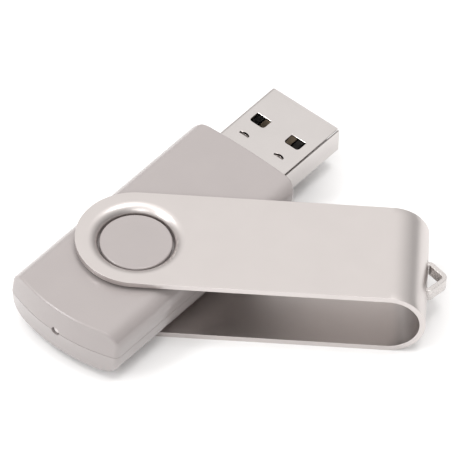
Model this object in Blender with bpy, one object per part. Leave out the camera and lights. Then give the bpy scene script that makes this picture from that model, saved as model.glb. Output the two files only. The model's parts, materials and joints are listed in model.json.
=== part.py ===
"""Swivel USB flash drive: a folded metal clip that turns about round bosses on a two-part body.

Frame: metres, +Z along the swivel axis and +X along the clip towards its fold. The origin is on the
swivel axis, on the flat underside of the lower boss. Each group of pieces hangs from an empty on the
swivel axis, at the drive's middle height. The drive's own +X runs from its rounded rear to the plug.
"""
import math

import bmesh
import bpy
from mathutils import Matrix

# Body of the drive
BODY_LENGTH = 39.2e-3
BODY_WIDTH = 18.8e-3
BODY_THICKNESS = 7.6e-3
PIVOT_FROM_REAR = 15.9e-3
REAR_ARC_RADIUS = 25.5e-3
FRONT_ARC_RADIUS = 107e-3
REAR_CORNER_RADIUS = 0.6e-3
REAR_BULGE = 0.5e-3
FRONT_CORNER_RADIUS = 2.0e-3
SIDE_RADIUS = 2.75e-3
WALL = 1.2e-3
BOSS_RADIUS = 4.9e-3
BOSS_RISE = 0.55e-3
GROOVE_DEPTH = 0.45e-3
RIB_UNDER_BOARD = 0.8e-3
RIB_LENGTH = 16.0e-3

# Folded clip and its key loop
CLIP_WIDTH = 16.4e-3
SHEET = 0.8e-3
CLIP_GAP = 0.55e-3
RIM_ROLL = 1.0e-3
PLUG_TO_FOLD = 2.3e-3
LOOP_STRIP = 0.65e-3
LOOP_HEIGHT = 1.9e-3
LOOP_REACH = 2.5e-3
LOOP_LEG_OFFSET = 2.3e-3
LOOP_TAB = 2.0e-3
LOOP_BEND = 0.4e-3
LOOP_PEAK_BEND = 0.8e-3

# USB type A plug
PLUG_WIDTH = 12.0e-3
PLUG_THICKNESS = 4.5e-3
PLUG_EXPOSED = 12.25e-3
PLUG_BURIED = 6.5e-3
PLUG_CORNER_RADIUS = 0.75e-3
SHELL_SHEET = 0.3e-3
SEAM = 0.1e-3
WINDOW_LENGTH = 1.8e-3
WINDOW_WIDTH = 2.5e-3
WINDOW_FROM_TIP = 5.05e-3
WINDOW_OFFSET = 3.04e-3
LUG_LENGTH = 3.3e-3
LUG_HEIGHT = 2.4e-3
TONGUE_THICKNESS = 1.5e-3
TONGUE_FROM_TIP = 0.8e-3
INSULATOR_BASE = 5.5e-3
CONTACT_BEND = 0.7e-3
CONTACT_WIDTH = 1.0e-3
CONTACT_SHEET = 0.2e-3
CONTACT_OUTER = 3.5e-3
CONTACT_INNER = 1.0e-3
CONTACT_TAIL = 2.2e-3
POWER_FROM_TIP = 1.6e-3
DATA_FROM_TIP = 2.6e-3

# Electronics: sizes are along the drive, across it, and up from the board
BOARD_THICKNESS = 0.7e-3
SOLDER_GAP = 0.12e-3
FLASH_SIZE = (18.4e-3, 12.0e-3, 1.0e-3)
FLASH_LEADS = 24
LEAD_PITCH = 0.5e-3
LEAD_WIDTH = 0.22e-3
LEAD_LENGTH = 0.8e-3
LEAD_SHEET = 0.13e-3
CONTROLLER_SIZE = (7.0e-3, 7.0e-3, 0.9e-3)
CRYSTAL_SIZE = (3.2e-3, 5.0e-3, 1.1e-3)
LED_SIZE = (1.25e-3, 2.0e-3, 0.8e-3)
SMALL_PART_SIZE = (1.6e-3, 0.8e-3, 0.45e-3)
SMALL_PART_CAP = 0.35e-3
CAP_STEP = 0.125
PART_SPACE = 1.0e-3
PART_PITCH = 2.2e-3
LIGHT_PIPE_RADIUS = 0.45e-3
LIGHT_PIPE_FLANGE = 1.0e-3
LIGHT_PIPE_FLANGE_SHEET = 0.4e-3
LIGHT_PIPE_RECESS = 0.3e-3

# Clearances, pose and mesh detail
FIT_GAP = 0.3e-3
HALF_SPLIT = 0.15e-3
PIPE_GAP = 0.2e-3
OVERCUT = 1.0e-3
LEAST_RADIUS = 0.2e-3
REST_SWING = math.radians(52.8)
CRISP_ANGLE = math.radians(35)
TURN_STEPS = 40
SMALL_TURN_STEPS = 16
BEND_STEPS = 5
LOOP_BEND_STEPS = 4
CROWN_STEPS = 4
FOLD_STEPS = 8

# Sizes that follow from the ones above
BODY_HALF = BODY_THICKNESS / 2
BOSS_TOP = BODY_HALF + BOSS_RISE
GROOVE_FLOOR = BODY_HALF - GROOVE_DEPTH
REAR_X = -PIVOT_FROM_REAR
FRONT_X = BODY_LENGTH - PIVOT_FROM_REAR
TIP_X = FRONT_X + PLUG_EXPOSED
PLUG_REAR_X = FRONT_X - PLUG_BURIED
SWING_RADIUS = math.hypot(TIP_X, PLUG_WIDTH / 2)
CLIP_HALF = BODY_HALF + CLIP_GAP + SHEET
CLIP_REACH = SWING_RADIUS + PLUG_TO_FOLD + SHEET
CLIP_ROUND = CLIP_WIDTH / 2
FOLD_START = CLIP_REACH - CLIP_HALF
HOLE_RADIUS = BOSS_RADIUS + FIT_GAP
RIM_TIP = GROOVE_FLOOR + FIT_GAP
SHELL_HALF = PLUG_THICKNESS / 2
INNER_HALF_WIDTH = PLUG_WIDTH / 2 - SHELL_SHEET - FIT_GAP
TONGUE_BASE = -SHELL_HALF + SHELL_SHEET + FIT_GAP
TONGUE_TOP = TONGUE_BASE + TONGUE_THICKNESS
CAVITY_HALF = BODY_HALF - WALL
BOARD_BOTTOM = -CAVITY_HALF + FIT_GAP + FLASH_SIZE[2] + SOLDER_GAP
BOARD_TOP = BOARD_BOTTOM + BOARD_THICKNESS
BOARD_FRONT = PLUG_REAR_X - FIT_GAP
BOARD_HALF_WIDTH = BODY_WIDTH / 2 - WALL - FIT_GAP
REAR_SAG = REAR_ARC_RADIUS - math.sqrt(REAR_ARC_RADIUS ** 2 - BOARD_HALF_WIDTH ** 2)
BOARD_REAR = REAR_X + WALL + REAR_SAG + FIT_GAP
LUG_END = PLUG_REAR_X - LUG_LENGTH
CONTROLLER_X = PLUG_REAR_X - CONTACT_TAIL - PART_SPACE - CONTROLLER_SIZE[0] / 2
CRYSTAL_X = CONTROLLER_X - (CONTROLLER_SIZE[0] + CRYSTAL_SIZE[0]) / 2 - PART_SPACE
CAPACITOR_X = CRYSTAL_X - (CRYSTAL_SIZE[0] + SMALL_PART_SIZE[0]) / 2 - PART_SPACE
LED_X = BOARD_REAR + LED_SIZE[0] / 2 + FIT_GAP
LED_RESISTOR_X = LED_X + (LED_SIZE[0] + SMALL_PART_SIZE[0]) / 2 + PART_SPACE


def clear_scene():
    for item in list(bpy.data.objects):
        bpy.data.objects.remove(item, do_unlink=True)


def material(name, colour, roughness, metallic=0.0):
    made = bpy.data.materials.new(name)
    made.use_nodes = True
    shader = made.node_tree.nodes["Principled BSDF"]
    shader.inputs["Base Color"].default_value = (*colour, 1.0)
    shader.inputs["Roughness"].default_value = roughness
    shader.inputs["Metallic"].default_value = metallic
    made.diffuse_color = (*colour, 1.0)
    return made


def frame(name, turn):
    """An empty on the swivel axis at the drive's middle height, which the pieces of one body hang from."""
    empty = bpy.data.objects.new(name, None)
    empty.location = (0, 0, BOSS_TOP)
    empty.rotation_euler = (0, 0, turn)
    bpy.context.scene.collection.objects.link(empty)
    return empty


def place(name, builder, parent, finish=None, closed=True):
    """Turns a bmesh into an object under its body's empty, shaded smooth with crisp edges kept."""
    if closed:
        bmesh.ops.recalc_face_normals(builder, faces=builder.faces)
    mesh = bpy.data.meshes.new(name)
    builder.to_mesh(mesh)
    builder.free()
    mesh.shade_smooth()
    mesh.set_sharp_from_angle(angle=CRISP_ANGLE)
    made = bpy.data.objects.new(name, mesh)
    made.parent = parent
    if finish:
        mesh.materials.append(finish)
    bpy.context.scene.collection.objects.link(made)
    return made


def boolean(target, builder, operation="DIFFERENCE"):
    """Adds a Boolean modifier whose tool is a hidden wire object in the same frame, and returns the tool."""
    number = len(target.modifiers)
    tool = place(f"{target.name}_tool_{number}", builder, target.parent)
    tool.hide_render = True
    tool.display_type = "WIRE"
    modifier = target.modifiers.new(f"{operation.lower()}_{number}", "BOOLEAN")
    modifier.operation = operation
    modifier.object = tool
    modifier.solver = "EXACT"
    return tool


def add_prism(builder, outline, low, high, axis="Z"):
    """Extrudes a closed outline. It lies in XY for axis Z, in YZ for axis X and in XZ for axis Y."""
    spots = {"Z": lambda a, b, c: (a, b, c), "X": lambda a, b, c: (c, a, b), "Y": lambda a, b, c: (a, c, b)}
    spot = spots[axis]
    rings = [[builder.verts.new(spot(a, b, level)) for a, b in outline] for level in (low, high)]
    count = len(outline)
    builder.faces.new(rings[0][::-1])
    builder.faces.new(rings[1])
    for i in range(count):
        j = (i + 1) % count
        builder.faces.new((rings[0][i], rings[0][j], rings[1][j], rings[1][i]))
    return builder


def prism(outline, low, high, axis="Z"):
    return add_prism(bmesh.new(), outline, low, high, axis)


def add_box(builder, low, high):
    corners = [(low[0], low[1]), (high[0], low[1]), (high[0], high[1]), (low[0], high[1])]
    return add_prism(builder, corners, low[2], high[2])


def box(low, high):
    return add_box(bmesh.new(), low, high)


def turned(profile, steps, axis="Z"):
    """Turns a closed (radius, height) profile about an axis. A profile that starts at radius 0 is solid."""
    builder = bmesh.new()
    edges = []
    verts = [builder.verts.new((radius, 0, height)) for radius, height in profile]
    for first, second in zip(verts, verts[1:] + verts[:1]):
        edges.append(builder.edges.new((first, second)))
    bmesh.ops.spin(builder, geom=verts + edges, cent=(0, 0, 0), axis=(0, 0, 1), angle=2 * math.pi,
                   steps=steps, use_merge=True)
    bmesh.ops.remove_doubles(builder, verts=builder.verts, dist=1e-7)
    loose = [edge for edge in builder.edges if not edge.link_faces]
    bmesh.ops.delete(builder, geom=loose, context="EDGES")
    if axis == "X":
        builder.transform(Matrix.Rotation(math.pi / 2, 4, "Y"))
    return builder


def arc(centre, radius, start, end, steps):
    angles = [math.radians(start + (end - start) * i / steps) for i in range(steps + 1)]
    return [(centre[0] + radius * math.cos(a), centre[1] + radius * math.sin(a)) for a in angles]


def rounded_path(corners, radii, steps):
    """An open path through corners, each inner one rounded to its radius."""
    path = [corners[0]]
    for i, radius in enumerate(radii, start=1):
        here, before, after = corners[i], corners[i - 1], corners[i + 1]
        turn_in = math.atan2(here[1] - before[1], here[0] - before[0])
        turn_out = math.atan2(after[1] - here[1], after[0] - here[0])
        turn = (turn_out - turn_in + math.pi) % (2 * math.pi) - math.pi
        back = radius * math.tan(abs(turn) / 2)
        start = (here[0] - back * math.cos(turn_in), here[1] - back * math.sin(turn_in))
        side = math.copysign(1, turn)
        centre = (start[0] - side * radius * math.sin(turn_in), start[1] + side * radius * math.cos(turn_in))
        for k in range(steps + 1):
            angle = turn_in + turn * k / steps - side * math.pi / 2
            path.append((centre[0] + radius * math.cos(angle), centre[1] + radius * math.sin(angle)))
    return path + [corners[-1]]


def strip_outline(path, thickness):
    """The closed outline of a strip of even thickness whose middle follows an open path."""
    left, right = [], []
    last = len(path) - 1
    for i, (x, y) in enumerate(path):
        before, after = path[max(i - 1, 0)], path[min(i + 1, last)]
        into = math.atan2(y - before[1], x - before[0]) if i else None
        out = math.atan2(after[1] - y, after[0] - x) if i < last else None
        into, out = (out if into is None else into), (into if out is None else out)
        turn = (out - into + math.pi) % (2 * math.pi) - math.pi
        normal = into + turn / 2 + math.pi / 2
        reach = thickness / 2 / math.cos(turn / 2)
        left.append((x + reach * math.cos(normal), y + reach * math.sin(normal)))
        right.append((x - reach * math.cos(normal), y - reach * math.sin(normal)))
    return left + right[::-1]


def rim_profile():
    """(radius, depth below the clip's face) of the hole's rolled rim, from its tip outwards."""
    tip_depth = CLIP_HALF - RIM_TIP
    rolled = arc((HOLE_RADIUS + RIM_ROLL, RIM_ROLL), RIM_ROLL, 180, 270, BEND_STEPS)
    return [(HOLE_RADIUS, tip_depth)] + rolled


def clip_edge(angle):
    """Where a ray from the swivel axis leaves the clip's flat: a round end behind, straight sides ahead."""
    x, y = math.cos(angle), math.sin(angle)
    scale = CLIP_ROUND if x < 0 else CLIP_ROUND / max(abs(x), abs(y))
    return scale * x, scale * y


def clip_spot(x, y, depth):
    """A point of the clip's outer skin, from its place on the flat strip, which curls down past FOLD_START."""
    if x <= FOLD_START:
        return x, y, CLIP_HALF - depth
    angle = (x - FOLD_START) / CLIP_HALF
    reach = CLIP_HALF - depth
    return FOLD_START + reach * math.sin(angle), y, reach * math.cos(angle)


def clip_skin():
    """The upper half of the clip's outer skin, from its round end to the middle of the fold."""
    builder = bmesh.new()
    angles = [2 * math.pi * i / TURN_STEPS for i in range(TURN_STEPS)]
    rings = [[builder.verts.new(clip_spot(r * math.cos(a), r * math.sin(a), depth)) for a in angles]
             for r, depth in rim_profile()]
    rings.append([builder.verts.new(clip_spot(*clip_edge(a), 0)) for a in angles])
    for inner, outer in zip(rings, rings[1:]):
        for i in range(TURN_STEPS):
            j = (i + 1) % TURN_STEPS
            builder.faces.new((inner[i], outer[i], outer[j], inner[j]))
    eighth = TURN_STEPS // 8
    row = [rings[-1][i % TURN_STEPS] for i in range(-eighth, eighth + 1)]
    quarter_fold = CLIP_HALF * math.pi / 2
    for k in range(FOLD_STEPS + 1):
        x = FOLD_START + quarter_fold * k / FOLD_STEPS
        following = [builder.verts.new(clip_spot(x, vert.co.y, 0)) for vert in row]
        for i in range(len(row) - 1):
            builder.faces.new((row[i], following[i], following[i + 1], row[i + 1]))
        row = following
    return builder


def loop_slots():
    """Two cutters for the slots in the fold that the key loop's legs pass through."""
    builder = bmesh.new()
    half_width = LOOP_STRIP / 2 + FIT_GAP
    half_height = LOOP_HEIGHT / 2 + FIT_GAP
    for middle in (-LOOP_LEG_OFFSET, LOOP_LEG_OFFSET):
        low = (FOLD_START, middle - half_width, -half_height)
        add_box(builder, low, (CLIP_REACH + OVERCUT, middle + half_width, half_height))
    return builder


def swivel_clip(parent):
    """One strip of sheet: skin, mirrored to the lower arm, given its thickness, and slotted for the loop."""
    finish = material("clip_steel", (0.72, 0.69, 0.67), 0.35, 1.0)
    clip = place("swivel_clip", clip_skin(), parent, finish, closed=False)
    mirror = clip.modifiers.new("lower_arm", "MIRROR")
    mirror.use_axis = (False, False, True)
    mirror.merge_threshold = 1e-5
    sheet = clip.modifiers.new("sheet", "SOLIDIFY")
    sheet.thickness = SHEET
    sheet.offset = -1
    sheet.use_even_offset = True
    boolean(clip, loop_slots())


def keyring_loop(parent):
    """A flat strip bent into a peaked loop outside the fold, with its ends bent apart inside it."""
    inside = CLIP_REACH - SHEET - FIT_GAP - LOOP_STRIP
    outside = CLIP_REACH + LOOP_STRIP / 2
    peak = CLIP_REACH + LOOP_REACH
    half = [(inside, LOOP_LEG_OFFSET + LOOP_TAB), (inside, LOOP_LEG_OFFSET),
            (outside, LOOP_LEG_OFFSET), (peak, 0)]
    corners = half + [(x, -y) for x, y in half[-2::-1]]
    radii = [LOOP_BEND, LOOP_BEND, LOOP_PEAK_BEND, LOOP_BEND, LOOP_BEND]
    outline = strip_outline(rounded_path(corners, radii, LOOP_BEND_STEPS), LOOP_STRIP)
    loop = prism(outline, -LOOP_HEIGHT / 2, LOOP_HEIGHT / 2)
    place("keyring_loop", loop, parent, material("loop_steel", (0.6, 0.57, 0.55), 0.3, 1.0))


def corner_setback(distance, radius):
    """How far a rounded corner has drawn an end face back, at a distance from the side."""
    if distance >= radius:
        return 0.0
    return radius - math.sqrt(max(radius ** 2 - (radius - distance) ** 2, 0))


def end_sag(arc_radius, y):
    return arc_radius - math.sqrt(arc_radius ** 2 - y ** 2)


def half_section(inset):
    """(y, z) points over the top of the body, inset from its outside, from one side to the other."""
    half_width = BODY_WIDTH / 2 - inset
    top = BODY_HALF - inset
    radius = max(SIDE_RADIUS - inset, LEAST_RADIUS)
    side = arc((half_width - radius, top - radius), radius, 0, 90, BEND_STEPS)
    reach = half_width - radius
    flat = [(reach * k / CROWN_STEPS, top) for k in range(CROWN_STEPS - 1, -1, -1)]
    right = side + flat
    return right + [(-y, z) for y, z in right[-2::-1]]


def wall_lean(end_x, z):
    """How far the rear wall leans out at a height, from its upper edge to the parting line. The front doesn't."""
    return REAR_BULGE * (1 - z / BODY_HALF) if end_x < 0 else 0.0


def half_body(inset, base, up):
    """A solid half of the body, inset from its outside, from its crown down to a base height."""
    half_width = BODY_WIDTH / 2 - inset
    section = half_section(inset)
    builder = bmesh.new()
    walls = []
    ends = ((REAR_X, REAR_ARC_RADIUS, REAR_CORNER_RADIUS, 1),
            (FRONT_X, FRONT_ARC_RADIUS, FRONT_CORNER_RADIUS, -1))
    for end_x, sag_radius, corner_radius, inward in ends:
        upper, lower = [], []
        corner = max(corner_radius - inset, LEAST_RADIUS)
        for y, z in section:
            back = corner_setback(half_width - abs(y), corner)
            x = end_x + inward * (inset + end_sag(sag_radius, y) + back)
            upper.append(builder.verts.new((x - wall_lean(end_x, z), y, up * z)))
            lower.append(builder.verts.new((x - wall_lean(end_x, base), y, up * base)))
        walls.append((upper, lower))
    (rear_top, rear_foot), (front_top, front_foot) = walls
    for i in range(len(section) - 1):
        j = i + 1
        builder.faces.new((rear_top[i], front_top[i], front_top[j], rear_top[j]))
        builder.faces.new((rear_foot[i], rear_foot[j], front_foot[j], front_foot[i]))
        builder.faces.new((rear_foot[i], rear_top[i], rear_top[j], rear_foot[j]))
        builder.faces.new((front_foot[i], front_foot[j], front_top[j], front_top[i]))
    for i in (0, -1):
        builder.faces.new((rear_foot[i], front_foot[i], front_top[i], rear_top[i]))
    return builder


def ring(inner, outer, low, high, up):
    profile = [(inner, up * low), (outer, up * low), (outer, up * high), (inner, up * high)]
    return turned(profile, TURN_STEPS)


def disc(radius, low, high, steps, axis="Z"):
    return turned([(0, low), (radius, low), (radius, high), (0, high)], steps, axis)


def board_ribs():
    """The two ledges under the board's long edges, which the bottom shell's cavity leaves standing."""
    builder = bmesh.new()
    middle = (BOARD_REAR + LUG_END) / 2
    top = BOARD_BOTTOM - FIT_GAP
    inner = BOARD_HALF_WIDTH - RIB_UNDER_BOARD
    outer = BODY_WIDTH / 2
    for low, high in ((inner, outer), (-outer, -inner)):
        add_box(builder, (middle - RIB_LENGTH / 2, low, -BODY_HALF), (middle + RIB_LENGTH / 2, high, top))
    return builder


def body_half(name, parent, up, finish):
    """One shell of the body, with its groove and boss outside, and its cavity and openings."""
    shell = place(name, half_body(0, HALF_SPLIT, up), parent, finish)
    cavity = boolean(shell, half_body(WALL, -OVERCUT, up))
    if up < 0:
        boolean(cavity, board_ribs())
    groove_reach = HOLE_RADIUS + RIM_ROLL + FIT_GAP
    boolean(shell, ring(BOSS_RADIUS - FIT_GAP, groove_reach, GROOVE_FLOOR, BODY_HALF + OVERCUT, up))
    boss_foot = (GROOVE_FLOOR + CAVITY_HALF) / 2
    boolean(shell, disc(BOSS_RADIUS, up * boss_foot, up * BOSS_TOP, TURN_STEPS), "UNION")
    reach = PLUG_WIDTH / 2 + FIT_GAP
    low, high = sorted((-up * OVERCUT, up * (SHELL_HALF + FIT_GAP)))
    boolean(shell, box((FRONT_X - WALL - OVERCUT, -reach, low), (FRONT_X + OVERCUT, reach, high)))
    hole = LIGHT_PIPE_RADIUS + PIPE_GAP
    boolean(shell, disc(hole, REAR_X - OVERCUT, REAR_X + WALL + OVERCUT, SMALL_TURN_STEPS, "X"))


def light_pipe(parent):
    """A clear pin in the rear wall, with a flange inside that faces the lamp."""
    wall = REAR_X - REAR_BULGE
    flange = wall + WALL + FIT_GAP
    profile = [(0, wall + LIGHT_PIPE_RECESS), (LIGHT_PIPE_RADIUS, wall + LIGHT_PIPE_RECESS),
               (LIGHT_PIPE_RADIUS, flange), (LIGHT_PIPE_FLANGE, flange),
               (LIGHT_PIPE_FLANGE, flange + LIGHT_PIPE_FLANGE_SHEET), (0, flange + LIGHT_PIPE_FLANGE_SHEET)]
    pipe = turned(profile, SMALL_TURN_STEPS, "X")
    place("light_pipe", pipe, parent, material("clear_plastic", (0.75, 0.75, 0.75), 0.15))


def plug_windows():
    """Cutters for the four windows, two through each broad face."""
    builder = bmesh.new()
    front = TIP_X - WINDOW_FROM_TIP
    for middle in (-WINDOW_OFFSET, WINDOW_OFFSET):
        low = (front - WINDOW_LENGTH, middle - WINDOW_WIDTH / 2, -SHELL_HALF - OVERCUT)
        add_box(builder, low, (front, middle + WINDOW_WIDTH / 2, SHELL_HALF + OVERCUT))
    return builder


def plug_shell(parent):
    """Sheet wrapped into the plug's tube, with an open seam along one upper edge and a lug on each side."""
    side = (PLUG_WIDTH - SHELL_SHEET) / 2
    level = (PLUG_THICKNESS - SHELL_SHEET) / 2
    seam_level = SHELL_HALF - SHELL_SHEET - SEAM
    seam_side = -side + SHELL_SHEET / 2 + SEAM
    corners = [(seam_side, level), (side, level), (side, -level), (-side, -level), (-side, seam_level)]
    path = rounded_path(corners, [PLUG_CORNER_RADIUS - SHELL_SHEET / 2] * 3, BEND_STEPS)
    tube = prism(strip_outline(path, SHELL_SHEET), LUG_END, TIP_X, "X")
    shell = place("plug_shell", tube, parent, material("plug_steel", (0.75, 0.72, 0.7), 0.3, 1.0))
    boolean(shell, plug_windows())
    reach = PLUG_WIDTH / 2 + OVERCUT
    trimmed = bmesh.new()
    for low, high in ((LUG_HEIGHT / 2, SHELL_HALF + OVERCUT), (-SHELL_HALF - OVERCUT, -LUG_HEIGHT / 2)):
        add_box(trimmed, (LUG_END - OVERCUT, -reach, low), (PLUG_REAR_X, reach, high))
    boolean(shell, trimmed)


def contact_layout():
    """(name, place across the plug, distance from the tip) of each contact."""
    return [
        ("contact_power", CONTACT_OUTER, POWER_FROM_TIP),
        ("contact_data_minus", CONTACT_INNER, DATA_FROM_TIP),
        ("contact_data_plus", -CONTACT_INNER, DATA_FROM_TIP),
        ("contact_ground", -CONTACT_OUTER, POWER_FROM_TIP),
    ]


def plug_insulator(parent):
    """The moulded block in the plug, with the tongue that carries the contacts in four channels."""
    base_front = PLUG_REAR_X + INSULATOR_BASE
    outline = [(PLUG_REAR_X, TONGUE_BASE), (TIP_X - TONGUE_FROM_TIP, TONGUE_BASE),
               (TIP_X - TONGUE_FROM_TIP, TONGUE_TOP), (base_front, TONGUE_TOP),
               (base_front, -TONGUE_BASE), (PLUG_REAR_X, -TONGUE_BASE)]
    block = prism(outline, -INNER_HALF_WIDTH, INNER_HALF_WIDTH, "Y")
    finish = material("insulator_plastic", (0.03, 0.03, 0.03), 0.5)
    insulator = place("plug_insulator", block, parent, finish)
    channels = bmesh.new()
    half_width = CONTACT_WIDTH / 2 + FIT_GAP
    for _, y, from_tip in contact_layout():
        low = (PLUG_REAR_X - OVERCUT, y - half_width, TONGUE_TOP - CONTACT_SHEET - FIT_GAP)
        add_box(channels, low, (TIP_X - from_tip + FIT_GAP, y + half_width, TONGUE_TOP + FIT_GAP))
    boolean(insulator, channels)


def contacts(parent):
    """Four flat strips along the tongue, each stepping to the board behind the plug."""
    finish = material("contact_gold", (0.83, 0.62, 0.3), 0.25, 1.0)
    level = TONGUE_TOP - CONTACT_SHEET / 2
    foot = BOARD_TOP + SOLDER_GAP + CONTACT_SHEET / 2
    bend = PLUG_REAR_X - FIT_GAP
    for name, y, from_tip in contact_layout():
        path = [(TIP_X - from_tip, level), (bend, level),
                (bend - CONTACT_BEND, foot), (PLUG_REAR_X - CONTACT_TAIL, foot)]
        half_width = CONTACT_WIDTH / 2
        strip = prism(strip_outline(path, CONTACT_SHEET), y - half_width, y + half_width, "Y")
        place(name, strip, parent, finish)


def circuit_board(parent):
    """The board, notched at the front for the plug's lugs."""
    lug = PLUG_WIDTH / 2
    rear, front, side = BOARD_REAR, BOARD_FRONT, BOARD_HALF_WIDTH
    notch_end = LUG_END - FIT_GAP
    notch = [(front, lug - SHELL_SHEET - FIT_GAP), (notch_end, lug - SHELL_SHEET - FIT_GAP),
             (notch_end, lug + FIT_GAP), (front, lug + FIT_GAP)]
    right_side = [(x, -y) for x, y in notch[::-1]]
    outline = [(rear, -side), (front, -side)] + right_side + notch + [(front, side), (rear, side)]
    board = prism(outline, BOARD_BOTTOM, BOARD_TOP)
    place("circuit_board", board, parent, material("board_green", (0.02, 0.16, 0.06), 0.4))


def flash_memory_chip(parent):
    """The memory package under the board, with a row of leads along each end."""
    length, width, height = FLASH_SIZE
    middle = (BOARD_REAR + LUG_END) / 2
    top = BOARD_BOTTOM - SOLDER_GAP
    end = length / 2 + LEAD_LENGTH
    root = length / 2 - LEAD_LENGTH
    comb = []
    for i in range(FLASH_LEADS):
        y = (i - (FLASH_LEADS - 1) / 2) * LEAD_PITCH
        low, high = y - LEAD_WIDTH / 2, y + LEAD_WIDTH / 2
        comb += [(root, low), (end, low), (end, high), (root, high)]
    outline = [(middle + x, y) for x, y in comb] + [(middle - x, y) for x, y in comb[::-1]]
    leads = prism(outline, top - LEAD_SHEET, top)
    chip = place("flash_memory_chip", leads, parent, material("chip_black", (0.02, 0.02, 0.022), 0.45))
    lift = LEAD_SHEET / 2
    package = box((middle - length / 2, -width / 2, top - height),
                  (middle + length / 2, width / 2, top - lift))
    boolean(chip, package, "UNION")


def block_part(name, size, x, y, parent, finish):
    """A plain rectangular component on top of the board."""
    length, width, height = size
    foot = BOARD_TOP + SOLDER_GAP
    block = box((x - length / 2, y - width / 2, foot), (x + length / 2, y + width / 2, foot + height))
    return place(name, block, parent, finish)


def capped_part(name, x, y, parent, finish):
    """A resistor or capacitor: a block along the drive with a thicker metal cap at each end."""
    length, width, height = SMALL_PART_SIZE
    foot = BOARD_TOP + SOLDER_GAP
    step = height * CAP_STEP
    profile = [(-length / 2, 0), (-length / 2 + SMALL_PART_CAP, 0), (-length / 2 + SMALL_PART_CAP, step)]
    profile += [(-a, b) for a, b in profile[::-1]]
    profile += [(a, height - b) for a, b in profile[::-1]]
    outline = [(x + a, foot + b) for a, b in profile]
    part = prism(outline, y - width / 2, y + width / 2, "Y")
    place(name, part, parent, finish)


def board_parts(parent):
    """The components on top of the board, in rows from the plug to the lamp at the rear."""
    black = bpy.data.materials["chip_black"]
    resistor = material("resistor_black", (0.04, 0.04, 0.045), 0.5)
    capacitor = material("capacitor_tan", (0.45, 0.3, 0.17), 0.5)
    block_part("controller_chip", CONTROLLER_SIZE, CONTROLLER_X, 0, parent, black)
    can = material("crystal_can", (0.7, 0.7, 0.7), 0.3, 1.0)
    block_part("crystal", CRYSTAL_SIZE, CRYSTAL_X, 0, parent, can)
    block_part("status_led", LED_SIZE, LED_X, 0, parent, material("led_lens", (0.8, 0.8, 0.75), 0.3))
    beside_controller = (CONTROLLER_SIZE[1] + SMALL_PART_SIZE[1]) / 2 + PART_SPACE
    beside_crystal = (CRYSTAL_SIZE[1] + SMALL_PART_SIZE[1]) / 2 + PART_SPACE
    for i, side in enumerate((-1, 1), start=1):
        capped_part(f"data_resistor_{i}", CONTROLLER_X, side * beside_controller, parent, resistor)
        capped_part(f"crystal_capacitor_{i}", CRYSTAL_X, side * beside_crystal, parent, capacitor)
    for i in range(3):
        capped_part(f"decoupling_capacitor_{i + 1}", CAPACITOR_X, (i - 1) * PART_PITCH, parent, capacitor)
    capped_part("led_resistor", LED_RESISTOR_X, 0, parent, resistor)


def build():
    clear_scene()
    clip_frame = frame("clip_frame", 0)
    drive_frame = frame("drive_frame", REST_SWING)
    plastic = material("body_plastic", (0.57, 0.51, 0.5), 0.5)
    swivel_clip(clip_frame)
    keyring_loop(clip_frame)
    body_half("top_shell", drive_frame, 1, plastic)
    body_half("bottom_shell", drive_frame, -1, plastic)
    light_pipe(drive_frame)
    plug_shell(drive_frame)
    plug_insulator(drive_frame)
    contacts(drive_frame)
    circuit_board(drive_frame)
    flash_memory_chip(drive_frame)
    board_parts(drive_frame)


build()
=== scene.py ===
"""Looks of the swivel USB flash drive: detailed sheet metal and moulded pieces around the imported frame.

Everything is in metres, in the frame of the solids. The clip's pieces are built about the swivel axis at the
drive's middle height. The drive's own pieces are built there too, with +X from the rear to the plug, and are
then turned to the angle at which the drive rests in its clip.
"""
import json
import math

import bmesh
import bpy
from mathutils import Matrix, Vector


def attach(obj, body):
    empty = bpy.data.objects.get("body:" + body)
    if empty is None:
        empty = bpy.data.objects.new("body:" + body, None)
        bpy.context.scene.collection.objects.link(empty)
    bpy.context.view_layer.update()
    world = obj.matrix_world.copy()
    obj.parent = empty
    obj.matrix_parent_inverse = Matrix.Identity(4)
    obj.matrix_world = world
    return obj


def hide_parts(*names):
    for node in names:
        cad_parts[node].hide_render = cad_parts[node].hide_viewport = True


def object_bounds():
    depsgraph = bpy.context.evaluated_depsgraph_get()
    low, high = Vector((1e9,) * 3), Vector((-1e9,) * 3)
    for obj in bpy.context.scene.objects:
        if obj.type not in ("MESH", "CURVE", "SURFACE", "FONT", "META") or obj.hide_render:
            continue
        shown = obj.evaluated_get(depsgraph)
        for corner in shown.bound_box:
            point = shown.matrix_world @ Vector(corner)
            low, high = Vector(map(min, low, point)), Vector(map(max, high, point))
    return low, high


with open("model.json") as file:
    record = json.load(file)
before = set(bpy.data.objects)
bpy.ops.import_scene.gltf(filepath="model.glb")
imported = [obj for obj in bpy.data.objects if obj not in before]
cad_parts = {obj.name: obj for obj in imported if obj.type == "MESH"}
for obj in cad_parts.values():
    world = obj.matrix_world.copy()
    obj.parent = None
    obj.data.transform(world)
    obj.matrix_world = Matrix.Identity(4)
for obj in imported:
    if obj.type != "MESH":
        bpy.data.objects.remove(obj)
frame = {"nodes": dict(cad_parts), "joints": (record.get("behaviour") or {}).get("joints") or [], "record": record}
cad_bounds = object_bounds()

# Clip
SHEET = 0.8e-3
SHEET_EDGE = 0.18e-3
HOLE_RADIUS = 5.2e-3
RIM_BEND = 1.6e-3
RIM_SLOPE = 66
RIM_DEPTH = 1.5e-3

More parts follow.
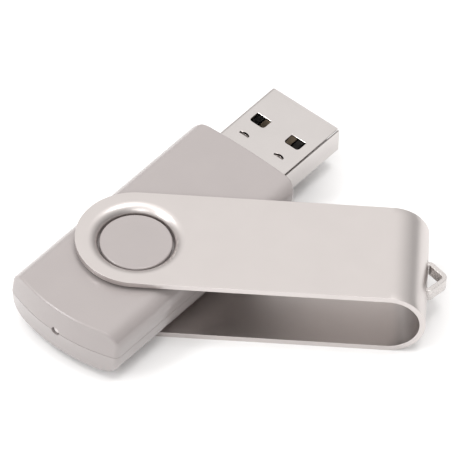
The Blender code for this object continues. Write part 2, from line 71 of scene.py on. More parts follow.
# Key loop
LOOP_STRIP = 0.65e-3
LOOP_HEIGHT = 1.9e-3
LOOP_REACH = 2.5e-3
LOOP_LEG_OFFSET = 2.3e-3
LOOP_TAB = 2.0e-3
LOOP_CLEARANCE = 0.3e-3
LOOP_EDGE = 0.12e-3
LOOP_BEND = 0.4e-3
LOOP_PEAK_BEND = 0.8e-3
SLOT_GAP = 0.2e-3

# Body
BODY_HALF = 3.8e-3
SIDE_RADIUS = 2.75e-3
REAR_ARC_RADIUS = 25.5e-3
FRONT_ARC_RADIUS = 107e-3
REAR_CORNER_RADIUS = 0.6e-3
REAR_BULGE = 0.5e-3
FRONT_CORNER_RADIUS = 2.0e-3
WALL = 1.2e-3
END_EDGE = 0.28e-3
SEAM_HALF = 0.03e-3
BOSS_RADIUS = 4.9e-3
BOSS_EDGE = 0.22e-3
GROOVE_FLOOR = 3.35e-3
GROOVE_RADIUS = 6.5e-3
LAMP_HOLE_RADIUS = 0.65e-3
LAMP_HOLE_GAP = 0.15e-3
PIPE_DOME = 0.15e-3
PIPE_FLANGE_GAP = 0.25e-3
PLUG_OPENING_GAP = 0.06e-3

# Plug
PLUG_HALF_WIDTH = 6.0e-3
PLUG_HALF = 2.25e-3
PLUG_CORNER_RADIUS = 0.75e-3
PLUG_SHEET = 0.3e-3
SEAM_MOUTH = 0.26e-3
SEAM_THROAT = 0.01e-3
WINDOW_LENGTH = 1.8e-3
WINDOW_WIDTH = 2.5e-3
WINDOW_FROM_TIP = 5.05e-3
WINDOW_OFFSET = 3.04e-3
WINDOW_FRONT_CORNER = 0.12e-3
WINDOW_REAR_CORNER = 0.45e-3
CUT_EDGE = 0.07e-3
WINDOW_EDGE = 0.02e-3
DETENT_FROM_TIP = 8.95e-3
DETENT_WIDTH = 1.6e-3
DETENT_BOW = 0.28e-3
DETENT_LENGTH = 0.62e-3
DETENT_DEPTH = 0.23e-3
DETENT_REAR_DEPTH = 0.05e-3
DETENT_SLIT = 0.14e-3
LUG_HALF_HEIGHT = 1.2e-3
LUG_LENGTH = 3.3e-3

# Mesh detail
TURN_STEPS = 96
BEND_STEPS = 10
FOLD_STEPS = 24
OVERCUT = 1e-3
CRISP_ANGLE = math.radians(40)
WELD_DISTANCE = 1e-6

# Camera and stage
CAMERA_TARGET = Vector((0.01217, 0.00387, 0.00813))
CAMERA_DISTANCE = 1.035
CAMERA_AZIMUTH = math.radians(0.82)
CAMERA_ELEVATION = math.radians(47.61)
CAMERA_ROLL = math.radians(2.84)
LENS_MM = 609.8
SENSOR_MM = 36.0
CLIP_NEAR = 0.01
CLIP_FAR = 20
FLOOR_SIZE = 3.0
FLOOR_DROP = 1e-5
FLOOR_COLOUR = (0.96, 0.96, 0.96)
SEEN_WORLD_COLOUR = (0.95, 0.95, 0.95)
WORLD_TINT = (1.0, 0.985, 0.975)
WORLD_LEVELS = ((0.0, 0.5), (0.2, 0.6), (0.45, 0.95), (0.75, 1.14), (1.0, 1.5))
DIM_SIDE = (0.9, -0.44, 0)
DIM_LEVEL = 0.45
# Each softbox: name, place, width, height, radiance
SOFTBOXES = (
    ("right_overhead_softbox", (0.2, 0.02, 0.93), 0.28, 0.28, 7.5),
    ("left_overhead_softbox", (-0.53, 0.0, 0.8), 0.25, 0.25, 9.5),
    ("left_softbox", (-0.72, -0.32, 0.5), 0.3, 0.1, 16),
    ("front_softbox", (-0.1, -0.8, 0.68), 0.4, 0.1, 9),
)

# Finishes: the middle part of a noise pattern's range, over which gloss and tone run from low to high
COAT_ROUGHNESS = 0.14
PATTERN_LOW = 0.3
PATTERN_HIGH = 0.7
MOTTLE_SCALE = 220


# ---------------------------------------------------------------- places taken from the frame

def mount_place(name):
    mounts = {mount["name"]: mount for mount in frame["record"]["mounts"]}
    return Vector(mounts[name]["pos_m"])


def own_box(node, place):
    """(lowest, highest) corner of a node in the frame of a body that stands turned."""
    inverse = place.inverted()
    corners = [inverse @ vertex.co for vertex in frame["nodes"][node].data.vertices]
    low = Vector([min(corner[i] for corner in corners) for i in range(3)])
    return low, Vector([max(corner[i] for corner in corners) for i in range(3)])


MIDDLE = frame["joints"][0]["pos_m"][2]
PLUG_MOUNT = mount_place("plug_upper_face")
CLIP_PLACE = Matrix.Translation((0, 0, MIDDLE))
DRIVE_PLACE = CLIP_PLACE @ Matrix.Rotation(math.atan2(PLUG_MOUNT.y, PLUG_MOUNT.x), 4, "Z")

CLIP_HIGH = own_box("swivel_clip", CLIP_PLACE)[1]
CLIP_HALF = CLIP_HIGH.z
CLIP_ROUND = CLIP_HIGH.y
CLIP_REACH = CLIP_HIGH.x
FOLD_START = CLIP_REACH - CLIP_HALF
SHELL_LOW, SHELL_HIGH = own_box("top_shell", DRIVE_PLACE)
REAR_X, FRONT_X = SHELL_LOW.x + REAR_BULGE, SHELL_HIGH.x
HALF_WIDTH = SHELL_HIGH.y
BOSS_TOP = SHELL_HIGH.z
PLUG_LOW, PLUG_HIGH = own_box("plug_shell", DRIVE_PLACE)
TIP_X = PLUG_HIGH.x
PLUG_REAR_X = PLUG_LOW.x
PIPE_LOW, PIPE_HIGH = own_box("light_pipe", DRIVE_PLACE)


# ---------------------------------------------------------------- mesh helpers

def arc(centre, radius, start, end, steps=BEND_STEPS):
    angles = [math.radians(start + (end - start) * i / steps) for i in range(steps + 1)]
    return [(centre[0] + radius * math.cos(a), centre[1] + radius * math.sin(a)) for a in angles]


def lofted(rings):
    """A closed solid through rings of points: each ring joins the next, and the end rings are capped."""
    builder = bmesh.new()
    loops = [[builder.verts.new(point) for point in ring] for ring in rings]
    builder.faces.new(loops[0][::-1])
    builder.faces.new(loops[-1])
    count = len(loops[0])
    for lower, upper in zip(loops, loops[1:]):
        for i in range(count):
            j = (i + 1) % count
            builder.faces.new((lower[i], lower[j], upper[j], upper[i]))
    return builder


def prism(outline, low, high, axis="Z"):
    """Extrudes a closed outline, which lies in XY for axis Z and in YZ for axis X."""
    spots = {"Z": lambda a, b, c: (a, b, c), "X": lambda a, b, c: (c, a, b)}
    return lofted([[spots[axis](a, b, level) for a, b in outline] for level in (low, high)])


def turned(profile, axis="Z"):
    """A solid turned from a profile of (radius, height) points that starts and ends on the axis."""
    builder = bmesh.new()
    rings = []
    for radius, height in profile:
        if radius == 0:
            rings.append([builder.verts.new((0, 0, height))] * TURN_STEPS)
            continue
        angles = [2 * math.pi * i / TURN_STEPS for i in range(TURN_STEPS)]
        around = [(radius * math.cos(a), radius * math.sin(a), height) for a in angles]
        rings.append([builder.verts.new(point) for point in around])
    for lower, upper in zip(rings, rings[1:]):
        for i in range(TURN_STEPS):
            j = (i + 1) % TURN_STEPS
            corners = []
            for corner in (lower[i], lower[j], upper[j], upper[i]):
                if corner not in corners:
                    corners.append(corner)
            builder.faces.new(corners)
    if axis == "X":
        builder.transform(Matrix.Rotation(math.pi / 2, 4, "Y"))
    return builder


def box(low, high):
    corners = [(low[0], low[1]), (high[0], low[1]), (high[0], high[1]), (low[0], high[1])]
    return prism(corners, low[2], high[2])


def piece(name, builder, place, closed=True):
    """An object in a body's own frame, from a bmesh."""
    if closed:
        bmesh.ops.recalc_face_normals(builder, faces=builder.faces)
    mesh = bpy.data.meshes.new(name)
    builder.to_mesh(mesh)
    builder.free()
    made = bpy.data.objects.new(name, mesh)
    made.matrix_world = place
    bpy.context.scene.collection.objects.link(made)
    return made


def cut(target, builder):
    """Cuts a solid out of a piece. The cutter goes when the piece is settled."""
    tool = piece(f"{target.name}_cutter", builder, target.matrix_world)
    modifier = target.modifiers.new("cut", "BOOLEAN")
    modifier.operation = "DIFFERENCE"
    modifier.object = tool
    modifier.solver = "EXACT"


def bevel(target, width, segments=3):
    modifier = target.modifiers.new("edge", "BEVEL")
    modifier.width = width
    modifier.segments = segments
    modifier.limit_method = "ANGLE"
    modifier.angle_limit = CRISP_ANGLE


def settle(target, body, node, finish):
    """Applies the modifiers, shades the mesh, and has the piece ride its body in place of its node."""
    bpy.context.view_layer.update()
    graph = bpy.context.evaluated_depsgraph_get()
    mesh = bpy.data.meshes.new_from_object(target.evaluated_get(graph), depsgraph=graph)
    tools = [m.object for m in target.modifiers if m.type == "BOOLEAN"]
    target.modifiers.clear()
    target.data = mesh
    for tool in tools:
        bpy.data.objects.remove(tool, do_unlink=True)
    mesh.transform(target.matrix_world)
    target.matrix_world = Matrix()
    mesh.shade_smooth()
    mesh.set_sharp_from_angle(angle=CRISP_ANGLE)
    even = target.modifiers.new("even_normals", "WEIGHTED_NORMAL")
    even.keep_sharp = True
    mesh.materials.clear()
    mesh.materials.append(finish)
    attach(target, body)
    if node:
        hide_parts(node)


# ---------------------------------------------------------------- finishes

def shader_of(material):
    return material.node_tree.nodes["Principled BSDF"]


def finish(name, colour, roughness, metallic=0.0, coat=0.0):
    """A Principled material with its even values set on the shader itself."""
    made = bpy.data.materials.new(name)
    made.use_nodes = True
    shader = shader_of(made)
    shader.inputs["Base Color"].default_value = (*colour, 1)
    shader.inputs["Roughness"].default_value = roughness
    shader.inputs["Metallic"].default_value = metallic
    shader.inputs["Coat Weight"].default_value = coat
    shader.inputs["Coat Roughness"].default_value = COAT_ROUGHNESS
    return made


def noise(material, scale, stretch=(1, 1, 1), detail=3.0):
    """A noise pattern in the piece's own space. Scale is in cells per metre."""
    nodes, links = material.node_tree.nodes, material.node_tree.links
    space = nodes.new("ShaderNodeTexCoord")
    mapping = nodes.new("ShaderNodeMapping")
    mapping.inputs["Scale"].default_value = stretch
    pattern = nodes.new("ShaderNodeTexNoise")
    pattern.inputs["Scale"].default_value = scale
    pattern.inputs["Detail"].default_value = detail
    links.new(space.outputs["Object"], mapping.inputs["Vector"])
    links.new(mapping.outputs["Vector"], pattern.inputs["Vector"])
    return pattern.outputs["Fac"]


def vary_roughness(material, pattern, low, high):
    nodes, links = material.node_tree.nodes, material.node_tree.links
    spread = nodes.new("ShaderNodeMapRange")
    spread.inputs["From Min"].default_value = PATTERN_LOW
    spread.inputs["From Max"].default_value = PATTERN_HIGH
    spread.inputs["To Min"].default_value = low
    spread.inputs["To Max"].default_value = high
    links.new(pattern, spread.inputs["Value"])
    links.new(spread.outputs["Result"], shader_of(material).inputs["Roughness"])


def vary_colour(material, pattern, dark, light):
    nodes, links = material.node_tree.nodes, material.node_tree.links
    ramp = nodes.new("ShaderNodeValToRGB")
    ramp.color_ramp.elements[0].position = PATTERN_LOW
    ramp.color_ramp.elements[0].color = (*dark, 1)
    ramp.color_ramp.elements[1].position = PATTERN_HIGH
    ramp.color_ramp.elements[1].color = (*light, 1)
    links.new(pattern, ramp.inputs["Fac"])
    links.new(ramp.outputs["Color"], shader_of(material).inputs["Base Color"])


def raise_grain(material, pattern, depth):
    nodes, links = material.node_tree.nodes, material.node_tree.links
    bump = nodes.new("ShaderNodeBump")
    bump.inputs["Distance"].default_value = depth
    links.new(pattern, bump.inputs["Height"])
    links.new(bump.outputs["Normal"], shader_of(material).inputs["Normal"])


def shade(colour, factor):
    return tuple(min(channel * factor, 1.0) for channel in colour)


def textured(name, colour, roughness, metallic=0.0, coat=0.0, grain=6000, stretch=(1, 1, 1), depth=4e-6,
             mottle=0.04, spread=0.05):
    """A finish whose grain is raised and varies its gloss, with slow changes of tone across the piece."""
    made = finish(name, colour, roughness, metallic, coat)
    fine = noise(made, grain, stretch)
    raise_grain(made, fine, depth)
    vary_roughness(made, fine, roughness - spread, roughness + spread)
    broad = noise(made, MOTTLE_SCALE, detail=2.0)
    vary_colour(made, broad, shade(colour, 1 - mottle), shade(colour, 1 + mottle))
    return made


def clip_steel():
    return textured("clip_steel", (0.61, 0.572, 0.557), 0.35, metallic=1.0, grain=9000,
                    stretch=(0.08, 1, 1), depth=0.25e-6, mottle=0.01, spread=0.02)


def loop_steel():
    return textured("loop_steel", (0.62, 0.59, 0.575), 0.28, metallic=1.0, grain=3000, depth=1e-6)


def body_plastic():
    return textured("body_plastic", (0.34, 0.307, 0.301), 0.4, coat=0.8, grain=7000, depth=3e-6,
                    mottle=0.012, spread=0.06)


def clear_plastic():
    return textured("clear_plastic", (0.62, 0.58, 0.57), 0.2, coat=0.4, depth=1e-6)


def plug_steel():
    return textured("plug_steel", (0.61, 0.58, 0.568), 0.2, metallic=1.0, grain=4000,
                    stretch=(0.2, 1, 1), depth=0.8e-6, mottle=0.015, spread=0.04)


def insulator_plastic():
    return textured("insulator_plastic", (0.022, 0.02, 0.02), 0.5, depth=3e-6)


def contact_gold():
    # Painted shade: the contacts' gold is darkened to a dull brown to stand in for the shade inside the plug's
    # windows, over their own gold colour.
    return textured("contact_gold", (0.34, 0.28, 0.21), 0.4, metallic=1.0, depth=1e-6)


def board_green():
    return textured("board_green", (0.02, 0.16, 0.06), 0.35, coat=0.3, mottle=0.15)


def chip_black():
    return textured("chip_black", (0.02, 0.02, 0.022), 0.5, grain=9000)


def resistor_black():
    return textured("resistor_black", (0.04, 0.04, 0.045), 0.45)


def capacitor_tan():
    return textured("capacitor_tan", (0.45, 0.3, 0.17), 0.5)


def crystal_can():
    return textured("crystal_can", (0.72, 0.71, 0.7), 0.3, metallic=1.0, depth=1e-6)


def led_lens():
    return textured("led_lens", (0.78, 0.78, 0.72), 0.2, coat=0.5, depth=1e-6)


def all_finishes():
    """Every finish by its name, which is also the name of its material slot."""
    makers = (clip_steel, loop_steel, body_plastic, clear_plastic, plug_steel, insulator_plastic,
              contact_gold, board_green, chip_black, resistor_black, capacitor_tan, crystal_can, led_lens)
    return {maker.__name__: maker() for maker in makers}


# ---------------------------------------------------------------- the clip and its key loop

def clip_edge(angle):
    """Where a ray from the swivel axis leaves the clip's flat: a round end behind, straight sides ahead."""
    x, y = math.cos(angle), math.sin(angle)
    scale = CLIP_ROUND if x < 0 else CLIP_ROUND / max(abs(x), abs(y))
    return scale * x, scale * y


def clip_spot(x, y, depth=0.0):
    """A point of the clip's outer skin, from its place on the flat strip, which curls down at the fold."""
    if x <= FOLD_START:
        return x, y, CLIP_HALF - depth
    angle = (x - FOLD_START) / CLIP_HALF
    return FOLD_START + CLIP_HALF * math.sin(angle), y, CLIP_HALF * math.cos(angle)


def clip_skin():
    """The upper half of the clip's outer skin: rings round the hole's dished rim, then rows over the fold."""
    builder = bmesh.new()
    angles = [2 * math.pi * i / TURN_STEPS for i in range(TURN_STEPS)]
    rim_start = HOLE_RADIUS + RIM_BEND * math.sin(math.radians(RIM_SLOPE))
    rim = [(HOLE_RADIUS, RIM_DEPTH)] + arc((rim_start, RIM_BEND), RIM_BEND, 270 - RIM_SLOPE, 270)
    rings = [[builder.verts.new(clip_spot(r * math.cos(a), r * math.sin(a), depth)) for a in angles]
             for r, depth in rim]
    rings.append([builder.verts.new(clip_spot(*clip_edge(a))) for a in angles])
    for inner, outer in zip(rings, rings[1:]):
        for i in range(TURN_STEPS):
            j = (i + 1) % TURN_STEPS
            builder.faces.new((inner[i], outer[i], outer[j], inner[j]))
    eighth = TURN_STEPS // 8
    row = [rings[-1][i % TURN_STEPS] for i in range(-eighth, eighth + 1)]
    quarter_fold = CLIP_HALF * math.pi / 2
    for k in range(FOLD_STEPS + 1):
        x = FOLD_START + quarter_fold * k / FOLD_STEPS
        following = [builder.verts.new(clip_spot(x, vert.co.y)) for vert in row]
        for i in range(len(row) - 1):
            builder.faces.new((row[i], following[i], following[i + 1], row[i + 1]))
        row = following
    return builder


def loop_slot(middle):
    half_width = LOOP_STRIP / 2 + SLOT_GAP
    half_height = LOOP_HEIGHT / 2 + SLOT_GAP
    low = (FOLD_START, middle - half_width, -half_height)
    return box(low, (CLIP_REACH + OVERCUT, middle + half_width, half_height))


def make_clip(finishes):
    clip = piece("folded_clip", clip_skin(), CLIP_PLACE, closed=False)
    mirror = clip.modifiers.new("lower_arm", "MIRROR")
    mirror.use_axis = (False, False, True)
    mirror.merge_threshold = WELD_DISTANCE
    sheet = clip.modifiers.new("sheet", "SOLIDIFY")
    sheet.thickness = SHEET
    sheet.offset = -1
    sheet.use_even_offset = True
    bevel(clip, SHEET_EDGE)
    cut(clip, loop_slot(-LOOP_LEG_OFFSET))
    cut(clip, loop_slot(LOOP_LEG_OFFSET))
    settle(clip, "clip", "swivel_clip", finishes["clip_steel"])


def rounded_path(corners, radii):
    """An open path through corners, each inner one rounded to its radius."""
    path = [corners[0]]
    for i, radius in enumerate(radii, start=1):
        here, before, after = corners[i], corners[i - 1], corners[i + 1]
        turn_in = math.atan2(here[1] - before[1], here[0] - before[0])
        turn_out = math.atan2(after[1] - here[1], after[0] - here[0])
        turn = (turn_out - turn_in + math.pi) % (2 * math.pi) - math.pi
        back = radius * math.tan(abs(turn) / 2)
        side = math.copysign(1, turn)
        centre = (here[0] - back * math.cos(turn_in) - side * radius * math.sin(turn_in),
                  here[1] - back * math.sin(turn_in) + side * radius * math.cos(turn_in))
        for k in range(BEND_STEPS + 1):
            angle = turn_in + turn * k / BEND_STEPS - side * math.pi / 2
            path.append((centre[0] + radius * math.cos(angle), centre[1] + radius * math.sin(angle)))
    return path + [corners[-1]]


def strip_outline(path, thickness):
    """The closed outline of a strip of even thickness whose middle follows an open path."""
    left, right = [], []
    for i, (x, y) in enumerate(path):
        before, after = path[max(i - 1, 0)], path[min(i + 1, len(path) - 1)]
        normal = math.atan2(after[1] - before[1], after[0] - before[0]) + math.pi / 2
        left.append((x + thickness / 2 * math.cos(normal), y + thickness / 2 * math.sin(normal)))
        right.append((x - thickness / 2 * math.cos(normal), y - thickness / 2 * math.sin(normal)))
    return left + right[::-1]


def make_loop(finishes):
    """The key loop: a flat strip bent to a peak outside the fold, with its ends bent apart inside it."""
    inside = CLIP_REACH - SHEET - LOOP_CLEARANCE - LOOP_STRIP
    outside = CLIP_REACH + LOOP_STRIP / 2
    half = [(inside, LOOP_LEG_OFFSET + LOOP_TAB), (inside, LOOP_LEG_OFFSET), (outside, LOOP_LEG_OFFSET),
            (CLIP_REACH + LOOP_REACH, 0)]
    corners = half + [(x, -y) for x, y in half[-2::-1]]
    bends = [LOOP_BEND, LOOP_BEND, LOOP_PEAK_BEND, LOOP_BEND, LOOP_BEND]
    outline = strip_outline(rounded_path(corners, bends), LOOP_STRIP)
    loop = piece("key_loop_strip", prism(outline, -LOOP_HEIGHT / 2, LOOP_HEIGHT / 2), CLIP_PLACE)
    bevel(loop, LOOP_EDGE)
    settle(loop, "clip", "keyring_loop", finishes["loop_steel"])


# ---------------------------------------------------------------- the body

def corner_setback(distance, radius):
    """How far a rounded corner has drawn an end face back, at a distance from the side."""
    if distance >= radius:
        return 0.0
    return radius - math.sqrt(max(radius ** 2 - (radius - distance) ** 2, 0))


def end_sag(arc_radius, y):
    return arc_radius - math.sqrt(arc_radius ** 2 - y ** 2)


def half_section(inset):
    """(y, z) points over the top of the body, inset from its outside, from one side to the other."""
    side_radius = SIDE_RADIUS - inset
    reach = HALF_WIDTH - inset - side_radius
    top = BODY_HALF - inset
    side = arc((reach, top - side_radius), side_radius, 0, 90, 2 * BEND_STEPS)
    flat = [(reach * k / BEND_STEPS, top) for k in range(BEND_STEPS - 1, -1, -1)]
    right = side + flat
    return right + [(-y, z) for y, z in right[-2::-1]]


def wall_lean(end_x, z):
    """How far the rear wall leans out at a height, up to the parting line. The front wall stands upright."""
    return REAR_BULGE * (1 - z / BODY_HALF) if end_x < 0 else 0.0


def body_ring(builder, end, inset, shrink, sink, base, up):
    """A station near one end of the body: points over its top, and the foot of each at the base height."""
    end_x, sag_radius, corner_radius, inward = end
    corner = max(corner_radius - inset, END_EDGE)
    tops, feet = [], []
    for y, z in half_section(inset + shrink):
        back = corner_setback(HALF_WIDTH - inset - abs(y), corner)
        x = end_x + inward * (sink + end_sag(sag_radius, y) + back)
        tops.append(builder.verts.new((x - wall_lean(end_x, z), y, up * z)))
        feet.append(builder.verts.new((x - wall_lean(end_x, base), y, up * base)))
    return tops, feet


def half_body(inset, base, up, edge=0.0):
    """Half of the body, inset from its outside, down to a base height, with rounded edges at both ends."""
    builder = bmesh.new()
    angles = [math.pi / 2 * k / BEND_STEPS for k in range(BEND_STEPS + 1)] if edge else [math.pi / 2]
    stations = [(edge * (1 - math.sin(a)), inset + edge * (1 - math.cos(a))) for a in angles]
    rear = (REAR_X, REAR_ARC_RADIUS, REAR_CORNER_RADIUS, 1)
    front = (FRONT_X, FRONT_ARC_RADIUS, FRONT_CORNER_RADIUS, -1)
    rings = [body_ring(builder, rear, inset, *station, base, up) for station in stations]
    rings += [body_ring(builder, front, inset, *station, base, up) for station in stations[::-1]]
    last = len(rings[0][0]) - 1
    for (tops, feet), (next_tops, next_feet) in zip(rings, rings[1:]):
        for i in range(last):
            builder.faces.new((tops[i], next_tops[i], next_tops[i + 1], tops[i + 1]))
            builder.faces.new((feet[i], feet[i + 1], next_feet[i + 1], next_feet[i]))
        for i in (0, last):
            builder.faces.new((feet[i], next_feet[i], next_tops[i], tops[i]))
    for tops, feet in (rings[0], rings[-1]):
        for i in range(last):
            builder.faces.new((feet[i], tops[i], tops[i + 1], feet[i + 1]))
    return builder


def rounded_box(half_width, half_height, radius):
    """The (y, z) outline of a rectangle with rounded corners."""
    y, z = half_width - radius, half_height - radius
    outline = []
    for centre, start in (((y, z), 0), ((-y, z), 90), ((-y, -z), 180), ((y, -z), 270)):
        outline += arc(centre, radius, start, start + 90)
    return outline


def make_shell(name, node, up, finishes):
    """One half of the body, hollow, with a round recess for its boss and the openings for plug and lamp."""
    shell = piece(name, half_body(0, SEAM_HALF, up, END_EDGE), DRIVE_PLACE)
    cut(shell, half_body(WALL, -OVERCUT, up))
    cut(shell, turned([(0, up * GROOVE_FLOOR), (GROOVE_RADIUS, up * GROOVE_FLOOR),
                       (GROOVE_RADIUS, up * (BODY_HALF + OVERCUT)), (0, up * (BODY_HALF + OVERCUT))]))
    opening = rounded_box(PLUG_HALF_WIDTH + PLUG_OPENING_GAP, PLUG_HALF + PLUG_OPENING_GAP,
                          PLUG_CORNER_RADIUS + PLUG_OPENING_GAP)
    cut(shell, prism(opening, FRONT_X - WALL - OVERCUT, FRONT_X + OVERCUT, "X"))
    lamp_hole = [(0, REAR_X - OVERCUT), (LAMP_HOLE_RADIUS, REAR_X - OVERCUT),
                 (LAMP_HOLE_RADIUS, REAR_X + WALL + OVERCUT), (0, REAR_X + WALL + OVERCUT)]
    cut(shell, turned(lamp_hole, axis="X"))
    settle(shell, "drive", node, finishes["body_plastic"])


def make_boss(name, up, finishes):
    """The round boss that stands in the clip's hole, with a rounded edge and the floor of its groove."""
    floor = GROOVE_FLOOR + SEAM_HALF
    edge = arc((BOSS_RADIUS - BOSS_EDGE, BOSS_TOP - BOSS_EDGE), BOSS_EDGE, 0, 90)
    under = GROOVE_FLOOR - WALL / 2
    profile = [(0, under), (GROOVE_RADIUS, under), (GROOVE_RADIUS, floor), (BOSS_RADIUS, floor)]
    profile += edge + [(0, BOSS_TOP)]
    boss = piece(name, turned([(radius, up * height) for radius, height in profile]), DRIVE_PLACE)
    settle(boss, "drive", None, finishes["body_plastic"])


def make_light_pipe(finishes):
    """The clear pin in the rear wall, with a domed outer end, a shank and a flange inside."""
    rear, front = PIPE_LOW.x, PIPE_HIGH.x
    radius = LAMP_HOLE_RADIUS - LAMP_HOLE_GAP
    flange = REAR_X - REAR_BULGE + WALL + PIPE_FLANGE_GAP
    angles = [math.pi / 2 * i / BEND_STEPS for i in range(BEND_STEPS + 1)]
    crown = [(radius * math.sin(a), rear + PIPE_DOME - PIPE_DOME * math.cos(a)) for a in angles]
    profile = crown + [(radius, flange), (PIPE_HIGH.y, flange), (PIPE_HIGH.y, front), (0, front)]
    pipe = piece("clear_light_pipe", turned(profile, axis="X"), DRIVE_PLACE)
    settle(pipe, "drive", "light_pipe", finishes["clear_plastic"])


# ---------------------------------------------------------------- the plug

def plug_section():
    """The (y, z) outline of the wrapped sheet: a rounded tube whose ends meet in a mitred seam."""
    inner_radius = PLUG_CORNER_RADIUS - PLUG_SHEET
    y, z = PLUG_HALF_WIDTH - PLUG_CORNER_RADIUS, PLUG_HALF - PLUG_CORNER_RADIUS
    corners = (((y, z), 90, 0), ((y, -z), 0, -90), ((-y, -z), -90, -180))
    inner_y, inner_z = -PLUG_HALF_WIDTH + PLUG_SHEET, PLUG_HALF - PLUG_SHEET
    outer = [(-PLUG_HALF_WIDTH + SEAM_MOUTH, PLUG_HALF)]
    inner = [(inner_y + SEAM_THROAT, inner_z)]
    for centre, start, end in corners:
        outer += arc(centre, PLUG_CORNER_RADIUS, start, end)
        inner += arc(centre, inner_radius, start, end)
    outer.append((-PLUG_HALF_WIDTH, PLUG_HALF - SEAM_MOUTH))
    inner.append((inner_y, inner_z - SEAM_THROAT))
    return outer + inner[::-1]


def window_outline(middle, grow):
    """The (x, y) outline of a window, with larger rounding at its rear corners."""
    front, rear = TIP_X - WINDOW_FROM_TIP + grow, TIP_X - WINDOW_FROM_TIP - WINDOW_LENGTH - grow
    half = WINDOW_WIDTH / 2 + grow
    corners = ((front, half, WINDOW_FRONT_CORNER, 0), (rear, half, WINDOW_REAR_CORNER, 90),
               (rear, -half, WINDOW_REAR_CORNER, 180), (front, -half, WINDOW_FRONT_CORNER, 270))
    outline = []
    for x, y, radius, start in corners:
        r = radius + grow
        centre = (x - math.copysign(r, x - (front + rear) / 2), middle + y - math.copysign(r, y))
        outline += arc(centre, r, start, start + 90)
    return outline


def window_cutter(middle):
    """Goes through both broad faces, and opens out at each to leave a small chamfer."""
    levels = [(-PLUG_HALF - OVERCUT, WINDOW_EDGE), (-PLUG_HALF, WINDOW_EDGE), (-PLUG_HALF + WINDOW_EDGE, 0),
              (PLUG_HALF - WINDOW_EDGE, 0), (PLUG_HALF, WINDOW_EDGE), (PLUG_HALF + OVERCUT, WINDOW_EDGE)]
    return lofted([[(x, y, level) for x, y in window_outline(middle, grow)] for level, grow in levels])


def detent_bow(middle):
    """Points along a detent's bowed front, from one side to the other."""
    front = TIP_X - DETENT_FROM_TIP
    half = DETENT_WIDTH / 2
    spans = [half * (i / BEND_STEPS - 1) for i in range(2 * BEND_STEPS + 1)]
    return [(front - DETENT_BOW * (y / half) ** 2, middle + y) for y in spans]


def detent_cutter(middle, up):
    """A shallow stamped pocket with a straight rear, deepest along its bowed front."""
    bow = detent_bow(middle)
    rear_x = TIP_X - DETENT_FROM_TIP - DETENT_LENGTH
    rear = [(rear_x, y) for _, y in bow[::-1]]
    top = [(x, y, up * (PLUG_HALF + OVERCUT)) for x, y in bow + rear]
    floor = [(x, y, up * (PLUG_HALF - DETENT_DEPTH)) for x, y in bow]
    floor += [(x, y, up * (PLUG_HALF - DETENT_REAR_DEPTH)) for x, y in rear]
    return lofted([floor, top])


def slit_cutter(middle, up):
    """The lanced slit that goes through the sheet along the bowed front of a detent."""
    bow = detent_bow(middle)
    low, high = sorted((up * (PLUG_HALF - 2 * PLUG_SHEET), up * (PLUG_HALF + OVERCUT)))
    return prism(bow + [(x - DETENT_SLIT, y) for x, y in bow[::-1]], low, high)


def make_plug(finishes):
    tube = piece("wrapped_plug_shell", prism(plug_section(), PLUG_REAR_X, TIP_X, "X"), DRIVE_PLACE)
    bevel(tube, CUT_EDGE, 2)
    neck = PLUG_REAR_X + LUG_LENGTH
    for low, high in ((LUG_HALF_HEIGHT, PLUG_HALF + OVERCUT), (-PLUG_HALF - OVERCUT, -LUG_HALF_HEIGHT)):
        cut(tube, box((PLUG_REAR_X - OVERCUT, -PLUG_HALF_WIDTH - OVERCUT, low),
                      (neck, PLUG_HALF_WIDTH + OVERCUT, high)))
    for middle in (-WINDOW_OFFSET, WINDOW_OFFSET):
        cut(tube, window_cutter(middle))
        for up in (-1, 1):
            cut(tube, detent_cutter(middle, up))
            cut(tube, slit_cutter(middle, up))
    settle(tube, "drive", "plug_shell", finishes["plug_steel"])


# ---------------------------------------------------------------- nodes kept from the frame

def dress_nodes(finishes):
    """Gives every node that still shows the finish of its material slot."""
    slots = {part["node"]: part["material_slot"] for part in frame["record"]["subparts"]}
    for name, node in frame["nodes"].items():
        node.data.materials.clear()
        node.data.materials.append(finishes[slots[name]])


# ---------------------------------------------------------------- camera, light and stage

def make_camera():
    camera = bpy.data.objects.new("camera", bpy.data.cameras.new("camera"))
    camera.data.sensor_width = SENSOR_MM
    camera.data.lens = LENS_MM
    camera.data.clip_start = CLIP_NEAR
    camera.data.clip_end = CLIP_FAR
    back = Vector((math.sin(CAMERA_AZIMUTH) * math.cos(CAMERA_ELEVATION),
                   -math.cos(CAMERA_AZIMUTH) * math.cos(CAMERA_ELEVATION), math.sin(CAMERA_ELEVATION)))
    camera.location = CAMERA_TARGET + back * CAMERA_DISTANCE
    turn = (-back).to_track_quat("-Z", "Y").to_matrix().to_4x4() @ Matrix.Rotation(CAMERA_ROLL, 4, "Z")
    camera.rotation_euler = turn.to_euler()
    bpy.context.scene.collection.objects.link(camera)
    bpy.context.scene.camera = camera


def make_floor():
    half = FLOOR_SIZE / 2
    builder = bmesh.new()
    corners = [(-half, -half, 0), (half, -half, 0), (half, half, 0), (-half, half, 0)]
    builder.faces.new([builder.verts.new(corner) for corner in corners])
    floor = piece("floor", builder, Matrix.Translation((0, 0, cad_bounds[0].z - FLOOR_DROP)), closed=False)
    floor.data.materials.append(finish("pale_floor", FLOOR_COLOUR, 0.9))


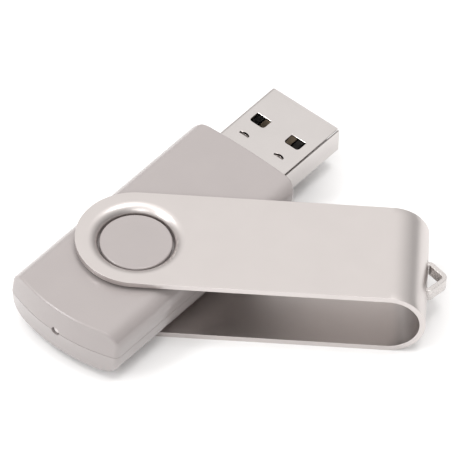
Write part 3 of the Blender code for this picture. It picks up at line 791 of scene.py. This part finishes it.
def studio_dome(tree):
    """The light of a studio dome: bright overhead, dimmer towards the horizon and on one side."""
    nodes, links = tree.nodes, tree.links
    space = nodes.new("ShaderNodeTexCoord")
    split = nodes.new("ShaderNodeSeparateXYZ")
    ramp = nodes.new("ShaderNodeValToRGB")
    elements = ramp.color_ramp.elements
    for i, (position, level) in enumerate(WORLD_LEVELS):
        stop = elements[i] if i < 2 else elements.new(position)
        stop.position = position
        stop.color = (*[level * tint for tint in WORLD_TINT], 1)
    side = nodes.new("ShaderNodeVectorMath")
    side.operation = "DOT_PRODUCT"
    side.inputs[1].default_value = DIM_SIDE
    dimming = nodes.new("ShaderNodeMapRange")
    dimming.inputs["To Min"].default_value = 1.0
    dimming.inputs["To Max"].default_value = DIM_LEVEL
    light = nodes.new("ShaderNodeBackground")
    links.new(space.outputs["Generated"], split.inputs["Vector"])
    links.new(split.outputs["Z"], ramp.inputs["Fac"])
    links.new(ramp.outputs["Color"], light.inputs["Color"])
    links.new(space.outputs["Generated"], side.inputs[0])
    links.new(side.outputs["Value"], dimming.inputs["Value"])
    links.new(dimming.outputs["Result"], light.inputs["Strength"])
    return light


def make_world():
    """Lights the object with the studio dome. The camera sees a plain pale backdrop."""
    world = bpy.data.worlds.new("studio")
    world.use_nodes = True
    bpy.context.scene.world = world
    nodes, links = world.node_tree.nodes, world.node_tree.links
    nodes.clear()
    light = studio_dome(world.node_tree)
    seen = nodes.new("ShaderNodeBackground")
    seen.inputs["Color"].default_value = (*SEEN_WORLD_COLOUR, 1)
    path = nodes.new("ShaderNodeLightPath")
    mix = nodes.new("ShaderNodeMixShader")
    out = nodes.new("ShaderNodeOutputWorld")
    links.new(path.outputs["Is Camera Ray"], mix.inputs["Fac"])
    links.new(light.outputs["Background"], mix.inputs[1])
    links.new(seen.outputs["Background"], mix.inputs[2])
    links.new(mix.outputs["Shader"], out.inputs["Surface"])


def make_softbox(name, place, width, height, radiance):
    """A soft rectangular light that faces the object. Its power follows from its area and its radiance."""
    light = bpy.data.objects.new(name, bpy.data.lights.new(name, "AREA"))
    light.data.shape = "RECTANGLE"
    light.data.size = width
    light.data.size_y = height
    light.data.energy = radiance * math.pi * width * height
    light.location = place
    light.rotation_euler = (-Vector(place)).to_track_quat("-Z", "Y").to_euler()
    bpy.context.scene.collection.objects.link(light)


def make_stage():
    make_floor()
    make_world()
    for softbox in SOFTBOXES:
        make_softbox(*softbox)
    bpy.context.scene.view_settings.view_transform = "Standard"


make_camera()
FINISHES = all_finishes()
dress_nodes(FINISHES)
make_clip(FINISHES)
make_loop(FINISHES)
make_shell("upper_body_half", "top_shell", 1, FINISHES)
make_shell("lower_body_half", "bottom_shell", -1, FINISHES)
make_boss("upper_boss", 1, FINISHES)
make_boss("lower_boss", -1, FINISHES)
make_light_pipe(FINISHES)
make_plug(FINISHES)
make_stage()
